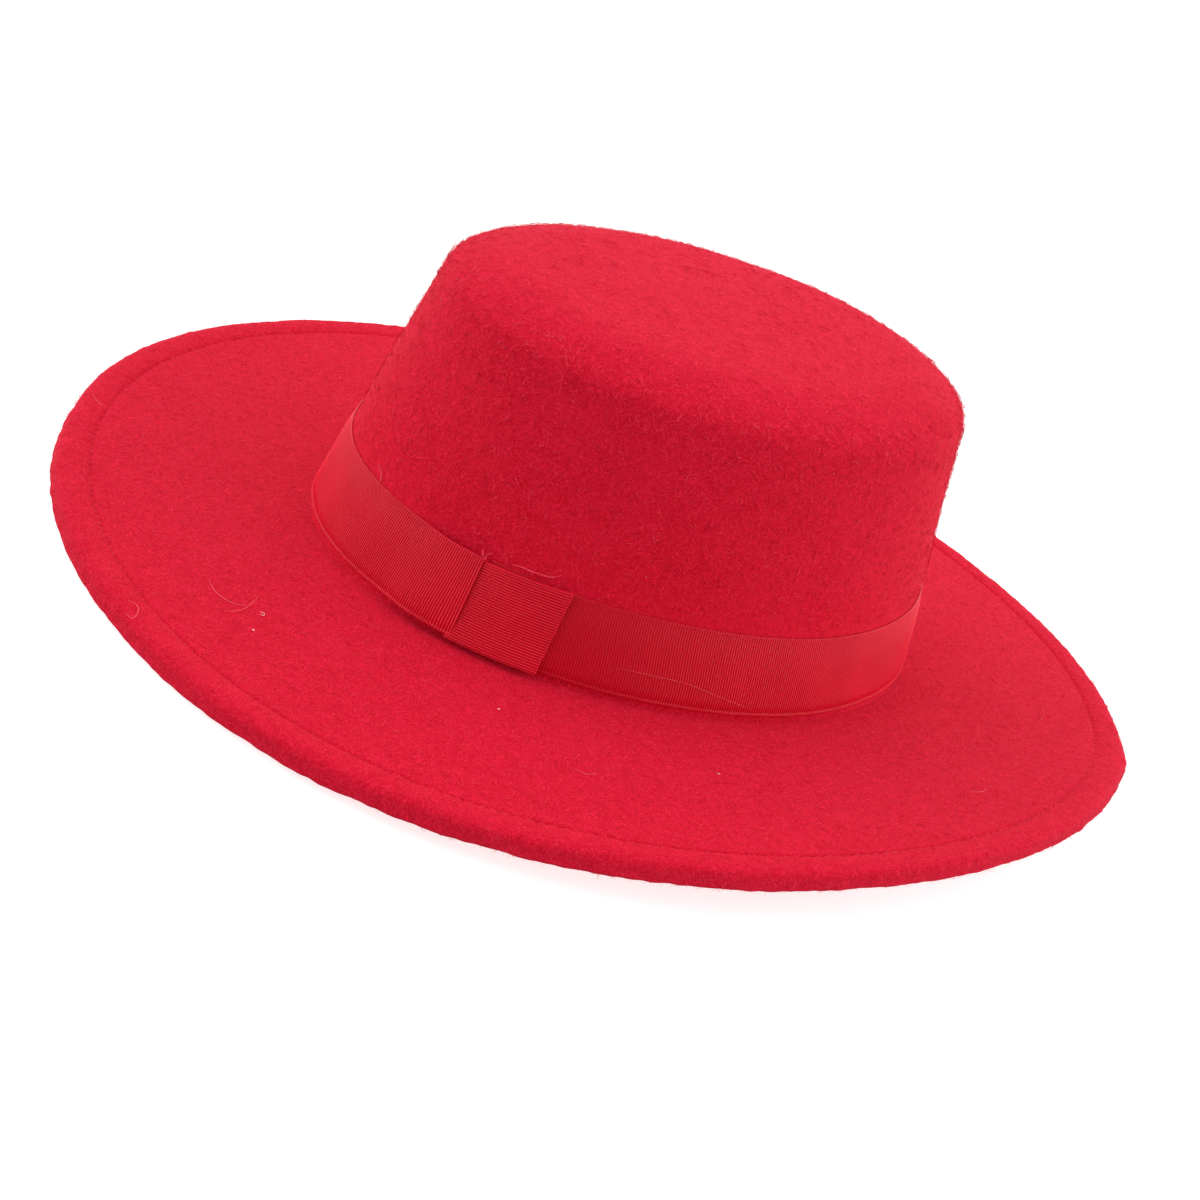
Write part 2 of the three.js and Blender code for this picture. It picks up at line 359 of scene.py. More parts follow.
def colour(hex_code):
    """An sRGB hex colour as linear red, green, blue and alpha."""
    parts = [int(hex_code[i : i + 2], 16) / 255 for i in (1, 3, 5)]
    return (*[p / 12.92 if p <= 0.04045 else ((p + 0.055) / 1.055) ** 2.4 for p in parts], 1.0)


def add(tree, kind, inputs=(), **settings):
    """Adds a node with its settings and links.

    inputs go by name or in order. Each is a value, a socket, or a node, meaning its first live output.
    """
    node = tree.nodes.new(kind)
    for key, value in settings.items():
        setattr(node, key, value)
    for key, value in inputs.items() if isinstance(inputs, dict) else enumerate(inputs):
        if isinstance(key, int):
            socket = node.inputs[key]
        else:
            socket = next(s for s in node.inputs if s.name == key and s.enabled)
        if isinstance(value, bpy.types.Node):
            value = next(s for s in value.outputs if s.enabled)
        if isinstance(value, bpy.types.NodeSocket):
            tree.links.new(value, socket)
        else:
            socket.default_value = value
    return node


# ------------------------ finishes

# A noise's scale counts its grains in a metre, or in a rib's width or a millimetre on the ribbon.
SMOOTH = {"interpolation_type": "SMOOTHSTEP"}


def finish(name, look, *tones):
    """A material of one shader. look draws its patterns in the tree and gives the shader's values."""
    material = bpy.data.materials.new(name)
    material.use_nodes = True
    tree = material.node_tree
    tree.nodes.clear()
    shader = add(tree, "ShaderNodeBsdfPrincipled", look(tree, *tones))
    add(tree, "ShaderNodeOutputMaterial", {"Surface": shader})
    return material


def brushed_felt(tree):
    """Wool felt, moulded in steam and brushed: dead matt, mottled by tufts about 1 mm across."""
    place = add(tree, "ShaderNodeTexCoord").outputs["Object"]
    # Tufts of 1.25 mm, flecks of 2 mm and clouds of 18 mm. The flecks are bumps too, with painted shade in
    # their low places.
    curled = {"Vector": place, "Scale": 800.0, "Detail": 3.0, "Roughness": 0.65, "Distortion": 2.5}
    tufts = add(tree, "ShaderNodeTexNoise", curled)
    sharp = {"Vector": place, "Scale": 480.0, "Detail": 4.0, "Roughness": 0.7}
    flecks = add(tree, "ShaderNodeTexNoise", sharp)
    clouds = add(tree, "ShaderNodeTexNoise", {"Vector": place, "Scale": 55.0, "Detail": 3.0})
    light = add(tree, "ShaderNodeMapRange", (tufts, 0.42, 0.64), **SMOOTH)
    tones = {"Factor": light, "A": colour("#ce0627"), "B": colour("#ee1e40")}
    pile = add(tree, "ShaderNodeMix", tones, data_type="RGBA")
    # Painted shade in the felt's pits: darkest where the flecks, which also set the bump, are lowest.
    painted_pit_shade = add(tree, "ShaderNodeMapRange", (flecks, 0.22, 0.42), **SMOOTH)
    pile = add(tree, "ShaderNodeMix", {"Factor": painted_pit_shade, "A": colour("#c20524"), "B": pile}, data_type="RGBA")
    worn = add(tree, "ShaderNodeMapRange", (clouds, 0.45, 0.75), **SMOOTH)
    worn = add(tree, "ShaderNodeMath", (worn, 0.18), operation="MULTIPLY")
    pile = add(tree, "ShaderNodeMix", {"Factor": worn, "A": pile, "B": colour("#ea1e3e")}, data_type="RGBA")
    height = add(tree, "ShaderNodeMath", (tufts, flecks), operation="ADD")
    return {
        "Base Color": pile,
        "Roughness": 0.85,
        "Specular IOR Level": 0.09,
        "Sheen Weight": 0.1,
        "Sheen Roughness": 0.5,
        "Sheen Tint": colour("#ff709a"),
        "Normal": add(tree, "ShaderNodeBump", {"Height": height, "Strength": 0.75, "Distance": 0.3 * MM}),
    }


def brushed_fibre(tree):
    """Loose ends of the wool, brushed up: thin matt hairs, a touch lighter than the felt under them."""
    place = add(tree, "ShaderNodeTexCoord").outputs["Object"]
    # Patches of 3 mm, so that a fibre has one tone.
    mix = add(tree, "ShaderNodeTexNoise", {"Vector": place, "Scale": 350.0, "Detail": 2.0})
    light = add(tree, "ShaderNodeMapRange", (mix, 0.34, 0.68), **SMOOTH)
    tones = {"Factor": light, "A": colour("#d81030"), "B": colour("#fa4860")}
    tone = add(tree, "ShaderNodeMix", tones, data_type="RGBA")
    return {"Base Color": tone, "Roughness": 0.8, "Specular IOR Level": 0.08}


def woven_grosgrain(tree):
    """Rayon grosgrain ribbon: heavy cords under fine silky warp. Each rib's crest gets a painted highlight
    and its valley painted shade; where the ribbon is pulled tight the ribs lie flat and are painted darker,
    as shade, with less highlight."""
    woven = add(tree, "ShaderNodeUVMap", uv_map="ribbon")
    woven = add(tree, "ShaderNodeSeparateXYZ", (woven,)).outputs
    number, across = woven["X"], woven["Y"]
    from_crest = add(tree, "ShaderNodeMath", (number,), operation="FRACT")
    from_crest = add(tree, "ShaderNodeMath", (from_crest, 0.5), operation="SUBTRACT")
    from_crest = add(tree, "ShaderNodeMath", (from_crest,), operation="ABSOLUTE")
    # Warp threads run along the ribbon. Real ones are 0.1 mm, and 0.3 mm is the finest that shows.
    warp = add(tree, "ShaderNodeMath", (across, TURN / 0.3), operation="MULTIPLY")
    warp = add(tree, "ShaderNodeMath", (warp,), operation="SINE")
    grid = add(tree, "ShaderNodeCombineXYZ", (number, across))
    # Slubs shorter than a rib, and clouds of 20 mm.
    uneven = add(tree, "ShaderNodeTexNoise", {"Vector": grid, "Scale": 1.3, "Detail": 3.0})
    clouds = add(tree, "ShaderNodeTexNoise", {"Vector": grid, "Scale": 0.05, "Detail": 2.0})
    light = add(tree, "ShaderNodeMapRange", (clouds, 0.35, 0.7), **SMOOTH)
    tones = {"Factor": light, "A": colour("#dc0a28"), "B": colour("#e80e2d")}
    silk = add(tree, "ShaderNodeMix", tones, data_type="RGBA")
    # Painted shade in the valleys between the ribs.
    painted_valley_shade = add(tree, "ShaderNodeMapRange", (from_crest, 0.2, 0.5), **SMOOTH)
    silk = add(tree, "ShaderNodeMix", {"Factor": painted_valley_shade, "A": silk, "B": colour("#ac041c")}, data_type="RGBA")
    # Where the ribs lie flat, behind the tab, the band is painted darker, as painted shade.
    roundness = add(tree, "ShaderNodeAttribute", attribute_name="roundness").outputs["Fac"]
    tones = {"Factor": roundness, "A": colour("#bc0822"), "B": silk}
    silk = add(tree, "ShaderNodeMix", tones, data_type="RGBA")
    # A painted highlight along each rib's crest, broken up by the slubs and faded where the ribs are flat.
    crest = add(tree, "ShaderNodeMapRange", (from_crest, 0.18, 0.04), **SMOOTH)
    smooth = add(tree, "ShaderNodeMapRange", (uneven, 0.1, 0.7), **SMOOTH)
    painted_highlight = add(tree, "ShaderNodeMath", (crest, smooth), operation="MULTIPLY")
    painted_highlight = add(tree, "ShaderNodeMath", (painted_highlight, roundness), operation="MULTIPLY")
    silk = add(tree, "ShaderNodeMix", {"Factor": painted_highlight, "A": silk, "B": colour("#fc3852")}, data_type="RGBA")
    height = add(tree, "ShaderNodeMath", (uneven, warp), operation="ADD")
    return {
        "Base Color": silk,
        "Roughness": 0.3,
        "Specular IOR Level": 0.14,
        "Sheen Weight": 0.03,
        "Sheen Roughness": 0.4,
        "Sheen Tint": colour("#f06a7a"),
        "Normal": add(tree, "ShaderNodeBump", {"Height": height, "Strength": 0.35, "Distance": 0.04 * MM}),
    }


def twisted_thread(tree, low, high):
    """Twisted thread, dyed to match: two tones that follow the twist, with a slight shine."""
    place = add(tree, "ShaderNodeTexCoord").outputs["Object"]
    # Turns of 0.4 mm.
    twist = add(tree, "ShaderNodeTexNoise", {"Vector": place, "Scale": 2500.0, "Detail": 2.0})
    light = add(tree, "ShaderNodeMapRange", (twist, 0.35, 0.65), **SMOOTH)
    tones = {"Factor": light, "A": colour(low), "B": colour(high)}
    tone = add(tree, "ShaderNodeMix", tones, data_type="RGBA")
    return {
        "Base Color": tone,
        "Roughness": 0.6,
        "Specular IOR Level": 0.15,
        "Normal": add(tree, "ShaderNodeBump", {"Height": twist, "Strength": 0.6, "Distance": 0.08 * MM}),
    }


def speckled(tree, scale, low, high, roughness):
    """Matt, in two tones, with grains of 1.1 mm at a scale of 900 and 0.3 mm at 3000."""
    place = add(tree, "ShaderNodeTexCoord").outputs["Object"]
    mix = add(tree, "ShaderNodeTexNoise", {"Vector": place, "Scale": scale})
    tones = {"Factor": mix, "A": colour(low), "B": colour(high)}
    return {"Base Color": add(tree, "ShaderNodeMix", tones, data_type="RGBA"), "Roughness": roughness}


def lit_table(tree):
    """White translucent table lit from beneath: matt, faintly uneven, with only a light shadow on it."""
    place = add(tree, "ShaderNodeTexCoord").outputs["Object"]
    mottle = add(tree, "ShaderNodeTexNoise", {"Vector": place, "Scale": 3.0, "Detail": 2.0})
    tones = {"Factor": mottle, "A": colour("#d2d2d2"), "B": colour("#d6d6d6")}
    return {
        "Base Color": add(tree, "ShaderNodeMix", tones, data_type="RGBA"),
        "Roughness": 0.9,
        "Specular IOR Level": 0.1,
        "Emission Color": colour("#ffffff"),
        "Emission Strength": 0.75,
    }


# ------------------------ geometry nodes


def new_tree(name, inputs):
    """A geometry tree with a geometry, these named inputs and a material, and the sockets that give them."""
    tree = bpy.data.node_groups.new(name, "GeometryNodeTree")
    for title, kind in {"Geometry": "Geometry", **inputs, "Material": "Material"}.items():
        tree.interface.new_socket(title, in_out="INPUT", socket_type=f"NodeSocket{kind}")
    tree.interface.new_socket("Geometry", in_out="OUTPUT", socket_type="NodeSocketGeometry")
    return tree, add(tree, "NodeGroupInput").outputs


def end_tree(tree, geometry, material):
    real = add(tree, "GeometryNodeRealizeInstances", {"Geometry": geometry})
    dyed = add(tree, "GeometryNodeSetMaterial", {"Geometry": real, "Material": material})
    add(tree, "NodeGroupOutput", {"Geometry": dyed})
    return tree


def grow(made, tree, values):
    """Runs a tree on a piece with these values, and leaves the plain mesh that it makes."""
    modifier = made.modifiers.new(tree.name, "NODES")
    modifier.node_group = tree
    for item in tree.interface.items_tree:
        if item.in_out == "INPUT" and item.name in values:
            modifier[item.identifier] = values[item.name]
    bpy.context.view_layer.update()
    evaluated = made.evaluated_get(bpy.context.evaluated_depsgraph_get())
    mesh = bpy.data.meshes.new_from_object(evaluated)
    made.modifiers.remove(modifier)
    made.data = mesh
    mesh.name = made.name
    mesh.shade_smooth()
    return made


def rib_tree():
    """Presses the valleys between round cords into a ribbon, along its stored lift."""
    tree, given = new_tree("grosgrain_ribs", {"Rib depth": "Float"})
    ribs = add(tree, "GeometryNodeInputNamedAttribute", {"Name": "ribs"}, data_type="FLOAT")
    lift = add(tree, "GeometryNodeInputNamedAttribute", {"Name": "lift"}, data_type="FLOAT_VECTOR")
    # The small shift keeps a whole rib number from being rounded down to the rib before it.
    share = add(tree, "ShaderNodeMath", (ribs, 0.0005), operation="ADD")
    share = add(tree, "ShaderNodeMath", (share,), operation="FRACT")
    from_crest = add(tree, "ShaderNodeMath", (share, 0.5), operation="SUBTRACT")
    from_crest = add(tree, "ShaderNodeMath", (from_crest, 2.0), operation="MULTIPLY")
    squared = add(tree, "ShaderNodeMath", (from_crest, from_crest), operation="MULTIPLY")
    cord = add(tree, "ShaderNodeMath", (1.0, squared), operation="SUBTRACT")
    cord = add(tree, "ShaderNodeMath", (cord,), operation="SQRT")
    sunk = add(tree, "ShaderNodeMath", (cord, 1.0), operation="SUBTRACT")
    sunk = add(tree, "ShaderNodeMath", (sunk, given["Rib depth"]), operation="MULTIPLY")
    offset = add(tree, "ShaderNodeVectorMath", {"Vector": lift, "Scale": sunk}, operation="SCALE")
    moved = add(tree, "GeometryNodeSetPosition", {"Geometry": given["Geometry"], "Offset": offset})
    return end_tree(tree, moved, given["Material"])


def stitch_tree():
    """Lays short arched stitches end to end along a closed line."""
    inputs = {
        "Stitches": "Int",
        "Stitch length": "Float",
        "Thread radius": "Float",
        "Arch": "Float",
        "Facing": "Vector",
        "Seed": "Int",
    }
    tree, given = new_tree("hem_stitches", inputs)
    line = add(tree, "GeometryNodeMeshToCurve", {"Mesh": given["Geometry"]})
    holes = add(tree, "GeometryNodeResampleCurve", {"Curve": line, "Count": given["Stitches"]})
    half = add(tree, "ShaderNodeMath", (given["Stitch length"], 0.5), operation="MULTIPLY")
    back = add(tree, "ShaderNodeMath", (half, -1.0), operation="MULTIPLY")
    down = add(tree, "ShaderNodeMath", (given["Arch"], -1.0), operation="MULTIPLY")
    start = add(tree, "ShaderNodeCombineXYZ", {"X": back, "Z": down})
    crest = add(tree, "ShaderNodeCombineXYZ", {"Z": given["Arch"]})
    end = add(tree, "ShaderNodeCombineXYZ", {"X": half, "Z": down})
    arch = {"Resolution": 6, "Start": start, "Middle": crest, "End": end}
    arch = add(tree, "GeometryNodeCurveQuadraticBezier", arch)
    thread = {"Resolution": 6, "Radius": given["Thread radius"]}
    thread = add(tree, "GeometryNodeCurvePrimitiveCircle", thread)
    stitch = {"Curve": arch, "Profile Curve": thread, "Fill Caps": True}
    stitch = add(tree, "GeometryNodeCurveToMesh", stitch)
    along = add(tree, "GeometryNodeInputTangent")
    lying = add(tree, "FunctionNodeAlignRotationToVector", {"Vector": along}, axis="X")
    facing = {"Rotation": lying, "Vector": given["Facing"]}
    lying = add(tree, "FunctionNodeAlignRotationToVector", facing, axis="Z", pivot_axis="X")
    sizes = {"Min": 0.82, "Max": 1.12, "Seed": given["Seed"]}
    size = add(tree, "FunctionNodeRandomValue", sizes, data_type="FLOAT")
    sewn = {"Points": holes, "Instance": stitch, "Rotation": lying, "Scale": size}
    sewn = add(tree, "GeometryNodeInstanceOnPoints", sewn)
    return end_tree(tree, sewn, given["Material"])


def nap_tree():
    """Scatters fibres over the felt where its stored share of nap lets them, leaning every way."""
    inputs = {
        "Felt": "Object",
        "Fibre": "Object",
        "Where": "String",
        "Density": "Float",
        "Steepest": "Float",
        "Shortest": "Float",
        "Longest": "Float",
        "Seed": "Int",
    }
    tree, given = new_tree("felt_nap", inputs)
    felt = add(tree, "GeometryNodeObjectInfo", {"Object": given["Felt"]}).outputs["Geometry"]
    fibre = add(tree, "GeometryNodeObjectInfo", {"Object": given["Fibre"]}).outputs["Geometry"]
    share = add(tree, "GeometryNodeInputNamedAttribute", {"Name": given["Where"]}, data_type="FLOAT")
    density = add(tree, "ShaderNodeMath", (share, given["Density"]), operation="MULTIPLY")
    roots = {"Mesh": felt, "Density": density, "Seed": given["Seed"]}
    roots = add(tree, "GeometryNodeDistributePointsOnFaces", roots).outputs
    turns = {"Min": 0.0, "Max": TURN, "Seed": 11}
    turn = add(tree, "FunctionNodeRandomValue", turns, data_type="FLOAT")
    leans = {"Min": 0.0, "Max": given["Steepest"], "Seed": 12}
    lean = add(tree, "FunctionNodeRandomValue", leans, data_type="FLOAT")
    sizes = {"Min": given["Shortest"], "Max": given["Longest"], "Seed": 13}
    size = add(tree, "FunctionNodeRandomValue", sizes, data_type="FLOAT")
    way = roots["Rotation"]
    for axis, angle in (((0.0, 0.0, 1.0), turn), ((0.0, -1.0, 0.0), lean)):
        turned = add(tree, "FunctionNodeAxisAngleToRotation", {"Axis": axis, "Angle": angle})
        turned = {"Rotation": way, "Rotate By": turned}
        way = add(tree, "FunctionNodeRotateRotation", turned, rotation_space="LOCAL")
    grown = {"Points": roots["Points"], "Instance": fibre, "Rotation": way, "Scale": size}
    grown = add(tree, "GeometryNodeInstanceOnPoints", grown)
    return end_tree(tree, grown, given["Material"])


# ------------------------ pieces


def brim_top(half_length):
    """Height of the brim's upper face on the section."""
    start = FOOT_HALF_LENGTH + 1.6
    end = EDGE_HALF_LENGTH + EDGE_RADIUS - HEM_WIDTH
    return EDGE_Z + lerp(FOOT_Z - EDGE_Z, BRIM_TOP_Z, (half_length - start) / (end - start))


def felt_shell(material):
    """Crown and brim, out to where the hem's sewing begins."""
    outer = crown_section(0, *OUTER_STEPS)
    inner = crown_section(FELT, *INNER_STEPS)
    foot = outer[-1]
    fillet = arc(foot[0] + FOOT_FILLET, foot[1], FOOT_FILLET, math.pi, 1.5 * math.pi, 4)[1:]
    mouth = arc(foot[0] + FOOT_FILLET, foot[1], FOOT_FILLET + FELT, 1.5 * math.pi, math.pi, 5)
    above = (JOINT_HALF_LENGTH, brim_top(JOINT_HALF_LENGTH))
    below = (JOINT_HALF_LENGTH, brim_top(JOINT_HALF_LENGTH) - FELT)
    outer = outer + fillet + between(fillet[-1], above, 26) + [above]
    under = [below] + between(below, mouth[0], 14) + mouth[:-1] + inner[::-1]
    half_length, height = np.array(outer + under).T[..., None]
    angle = np.arange(SHELL_AROUND)[None, :] * TURN / SHELL_AROUND
    rings = on_felt(angle, half_length, height)
    count = len(outer)
    is_outer = (np.arange(len(rings)) < count).astype(float)[:, None]
    above_ribbon, off_ribbon = smoothstep(height, *RIBBON_UP_TO), smoothstep(half_length, *RIBBON_OUT_TO)
    waves = felt_waves(rings, angle, half_length) * (1 - (1 - above_ribbon) * (1 - off_ribbon))
    waves = waves * (2 * is_outer - 1)
    rings = pressed_flat(rings + waves[..., None] * ring_normals(rings))
    made = skin("felt_shell", rings, material, sharp=(count - 1, count))
    nap = {
        "nap_crown": is_outer * smoothstep(height, *CROWN_NAP_FROM) * (half_length < FOOT_HALF_LENGTH),
        "nap_edge": is_outer * smoothstep(height, *CURLS_FROM) * (1 - smoothstep(height, *CURLS_TO)),
        "nap_brim": is_outer * smoothstep(half_length, *BRIM_NAP_FROM),
        "nap_inside": 1 - is_outer,
    }
    for where, share in nap.items():
        keep(made, where, share * np.ones_like(angle))
    return made, rings[count - 1], rings[count]


def finer_ring(ring, times):
    """A ring with more points on its own straight edges, so that a finer piece meets it without a gap."""
    share = np.arange(times)[None, :, None] / times
    ahead = np.roll(ring, -1, axis=0)
    return (ring[:, None] * (1 - share) + ahead[:, None] * share).reshape(-1, 3)


def felt_hem(material, above, below):
    """The brim's edge, turned under and sewn: plump, a little uneven, and dimpled at each stitch."""
    row_out, row_up, pull = np.array(HEM_SECTION).T[..., None]
    angle = np.arange(HEM_AROUND) * TURN / HEM_AROUND
    centre = on_felt(angle, EDGE_HALF_LENGTH, np.full(HEM_AROUND, EDGE_Z))
    groove, middle = -7.5, -3.0
    fatter = unevenness(centre, HEM_PLUMPNESS) * (row_out > groove) * (1 - pull)
    reach = unevenness(centre, HEM_REACH) * smoothstep(row_out, groove - 0.5, 0)
    out = row_out + (row_out - middle) * fatter + reach
    stitch = angle * STITCHES + unevenness(centre, STITCH_WANDER)
    hole = (0.5 + 0.5 * np.cos(stitch)) ** 2 + unevenness(centre, STITCH_PULL)
    inwards = np.where(row_up > 0, -1.0, 1.0)
    up = row_up * (1 + fatter) + inwards * pull * (STITCH_DIMPLE * hole - STITCH_SWELL)
    rings = on_felt(angle[None, :], EDGE_HALF_LENGTH + out, EDGE_Z + up)
    rings[..., 2] += felt_waves(rings, angle[None, :], EDGE_HALF_LENGTH + out)
    # The lumps are highest on the outer face, and fade away towards the shell.
    lumps = lerp(0.1, 0.26, smoothstep(row_out, -2.5, 1.5)) * smoothstep(row_out, -11, -9)
    rings += (lumps * unevenness(rings, HEM_LUMPS))[..., None] * ring_normals(rings)
    finer = HEM_AROUND // SHELL_AROUND
    rings = np.concatenate([[finer_ring(above, finer)], rings, [finer_ring(below, finer)]])
    rings = pressed_flat(rings)
    made = skin("felt_hem", rings, material, loop=True, sharp=(0, -1))
    # Nap is thin under the outer face, and there is none where the turned edge meets the shell.
    share = np.concatenate([[[1.0]], np.where(row_up > -1.5, 1.0, 0.35), [[0.0]]])
    share[-6:] = 0.0
    keep(made, "nap_hem", share * smoothstep(rings[..., 2], *HEM_NAP_FROM))
    return made, rings


def hem_stitches(material, hem_rings):
    """Running stitches in the groove above, and the same seam on the turned edge below."""
    tree = stitch_tree()
    half_stitch = HEM_AROUND // STITCHES // 2
    sides = [(i, (i + 1) % HEM_AROUND) for i in range(HEM_AROUND)]
    pull = np.array(HEM_SECTION)[:, 2]
    half = len(pull) // 2
    grooves = 1 + np.argmax(pull[:half]), 1 + half + np.argmax(pull[half:])
    made = []
    for name, row, lift, up, seed in (
        ("hem_stitches_above", grooves[0], 0.06, 1.0, 3),
        ("hem_stitches_below", grooves[1], -0.1, -1.0, 4),
    ):
        line = np.roll(hem_rings[row], -half_stitch, axis=0) + np.array([0, 0, lift])
        values = {
            "Stitches": STITCHES,
            "Stitch length": STITCH_LENGTH * MM,
            "Thread radius": THREAD_RADIUS * MM,
            "Arch": STITCH_ARCH * MM,
            "Facing": (0.0, 0.0, up),
            "Seed": seed,
            "Material": material,
        }
        made.append(grow(bare_piece(name, line, sides), tree, values))
    return made


# One fibre of each kind, in mm along it, sideways and up.
SHORT_FIBRE = ((0.0, 0.0, -0.06), (0.9, 0.0, 0.2), (2.0, 0.28, 0.1))
LONG_CURL = (
    (0.0, 0.0, -0.06), (0.6, 0.3, 0.2), (1.3, 0.2, 0.26),
    (1.9, -0.25, 0.28), (2.5, -0.1, 0.22), (2.6, 0.5, 0.1),
)


def fibre_pattern(name, spine, thickness):
    """One fibre of the nap: a thin spindle along a line that arches over and comes back to the felt."""
    corners = (0.5, 2.6, 4.7)
    points = [spine[0]]
    for x, y, z in spine[1:-1]:
        points += [(x, y + thickness * math.cos(a), z + thickness * math.sin(a)) for a in corners]
    points.append(spine[-1])
    last = len(points) - 1
    faces = [(0, 1 + (i + 1) % 3, 1 + i) for i in range(3)]
    for start in range(1, last - 3, 3):
        faces += [(start + i, start + (i + 1) % 3, start + 3 + (i + 1) % 3, start + 3 + i) for i in range(3)]
    faces += [(last, last - 3 + i, last - 3 + (i + 1) % 3) for i in range(3)]
    return bare_piece(name, points, faces=faces)


NAP = (
    # piece, pattern, thickness in mm, felt it grows on, where, fibres per square metre, lean, sizes
    ("nap_on_crown", SHORT_FIBRE, 0.05, "felt_shell", "nap_crown", 420e3, 0.3, 0.5, 1.4),
    ("nap_on_brim", SHORT_FIBRE, 0.05, "felt_shell", "nap_brim", 460e3, 0.3, 0.5, 1.4),
    ("nap_on_hem", SHORT_FIBRE, 0.05, "felt_hem", "nap_hem", 600e3, 0.5, 0.45, 1.2),
    ("nap_inside", SHORT_FIBRE, 0.05, "felt_shell", "nap_inside", 70e3, 0.4, 0.7, 1.3),
    ("curls_on_crown", LONG_CURL, 0.08, "felt_shell", "nap_crown", 70e3, 0.2, 0.5, 1.2),
    ("curls_on_brim", LONG_CURL, 0.07, "felt_shell", "nap_brim", 30e3, 0.2, 0.4, 1.0),
    ("curls_on_crown_edge", LONG_CURL, 0.08, "felt_shell", "nap_edge", 150e3, 0.35, 0.5, 1.2),
)

LINT_SPECKS = (
    ("lint_specks_on_crown", SHORT_FIBRE, 0.3, "felt_shell", "nap_crown", 700, 0.2, 0.12, 0.3),
    ("lint_specks_on_brim", SHORT_FIBRE, 0.3, "felt_shell", "nap_brim", 500, 0.2, 0.12, 0.3),
)
FIRST_NAP_SEED = 20


def felt_nap(material, rows):
    tree = nap_tree()
    made = []
    for seed, row in enumerate(rows, FIRST_NAP_SEED):
        name, spine, thickness, felt, *spread = row
        fibre = fibre_pattern("pattern", spine, thickness)
        values = dict(zip(("Where", "Density", "Steepest", "Shortest", "Longest"), spread))
        values |= {"Felt": bpy.data.objects[felt], "Fibre": fibre, "Seed": seed, "Material": material}
        made.append(grow(bare_piece(name), tree, values))
        bpy.data.objects.remove(fibre)
    return made


# A ribbon's edges: distance across, depth below the ribs' crests, share of the ribs.
SELVEDGE = (
    (0.22, -0.8, 0.0), (0.0, -0.5, 0.3), (0.06, -0.1, 0.6),
    (0.4, 0.08, 0.7), (0.8, -0.04, 0.7), (1.08, -0.2, 1.0),
)
PLAIN_EDGE = ((0.15, -0.8, 0.0), (0.0, -0.55, 0.4), (0.04, -0.15, 0.9), (0.25, 0.0, 1.0))


def ribbon_section(width, near_edge, face_rows):
    """Points across a ribbon's section, from its back over the face to its back."""
    first, last = 1.4, width - 0.6
    face = [(lerp(first, last, i / (face_rows - 1)), 0.0, 1.0) for i in range(face_rows)]
    far_edge = [(width - across, depth, share) for across, depth, share in reversed(PLAIN_EDGE)]
    return np.array([*near_edge, *face, *far_edge])


def ribbed_strip(name, material, tree, section, ribs, place, taut_and_shade=((0,), (1,))):
    """A length of grosgrain. place turns (rib number, across, depth) into points.

    The last argument gives rib numbers and how round the ribs are there; the material paints the flatter ribs
    darker, as painted shade, with less painted highlight.
    """
    steps = 4
    number = np.arange(ribs * steps + 1)[:, None] / steps
    across, depth, share = (section[None, :, i] for i in range(3))
    number, across, depth, share = np.broadcast_arrays(number, across, depth, share)
    points = place(number, across, depth)
    lift = place(number, across, depth + 0.5) - points
    roundness = np.interp(number, *taut_and_shade)
    lift = unit(lift) * (share * roundness)[..., None]
    made = skin(name, points, material)
    keep(made, "ribs", number)
    keep(made, "roundness", roundness)
    keep(made, "lift", lift)
    made = grow(made, tree, {"Rib depth": RIB_DEPTH * MM, "Material": material})
    layer = made.data.uv_layers.new(name="ribbon")
    corner = np.empty(len(made.data.loops), dtype=np.int32)
    made.data.loops.foreach_get("vertex_index", corner)
    flat = np.zeros((len(made.data.vertices), 2), dtype=np.float32)
    flat[: number.size] = np.stack([number.ravel(), across.ravel()], axis=-1)
    flat[number.size :] = flat[[0, number.size - 1]]  # The points that close the ends.
    layer.data.foreach_set("uv", flat[corner].ravel())
    return made


def wall_lengths(start, end, height):
    """Angles along the crown's wall, and the length round it that they reach."""
    angle = np.linspace(start, end, 4000)
    points = on_wall(angle, height, 1.0)
    steps = np.linalg.norm(np.diff(points, axis=0), axis=1)
    return angle, np.concatenate([[0], np.cumsum(steps)])


# The ribs lean where the ribbon was pulled round the crown: how far the upper edge runs ahead, in mm.
RIB_LEAN = (
    np.radians((43, 57, 62, 80, 110, 150, 374, 384, 398, 401.3)),
    (0, -1.0, -3.0, -2.8, -1.0, 0, 0, 1.6, 1.4, 0),
)

# Behind the tab the band is pulled tight and its ribs lie flat; there the band is painted darker, as shade,
# and its painted highlight fades: rib numbers, and their roundness, which also sets that painted shade.
TAUT_AND_SHADED_RIBS = ((24, 36, 62, 90, 125), (0.5, 0.35, 0.45, 0.75, 1.0))


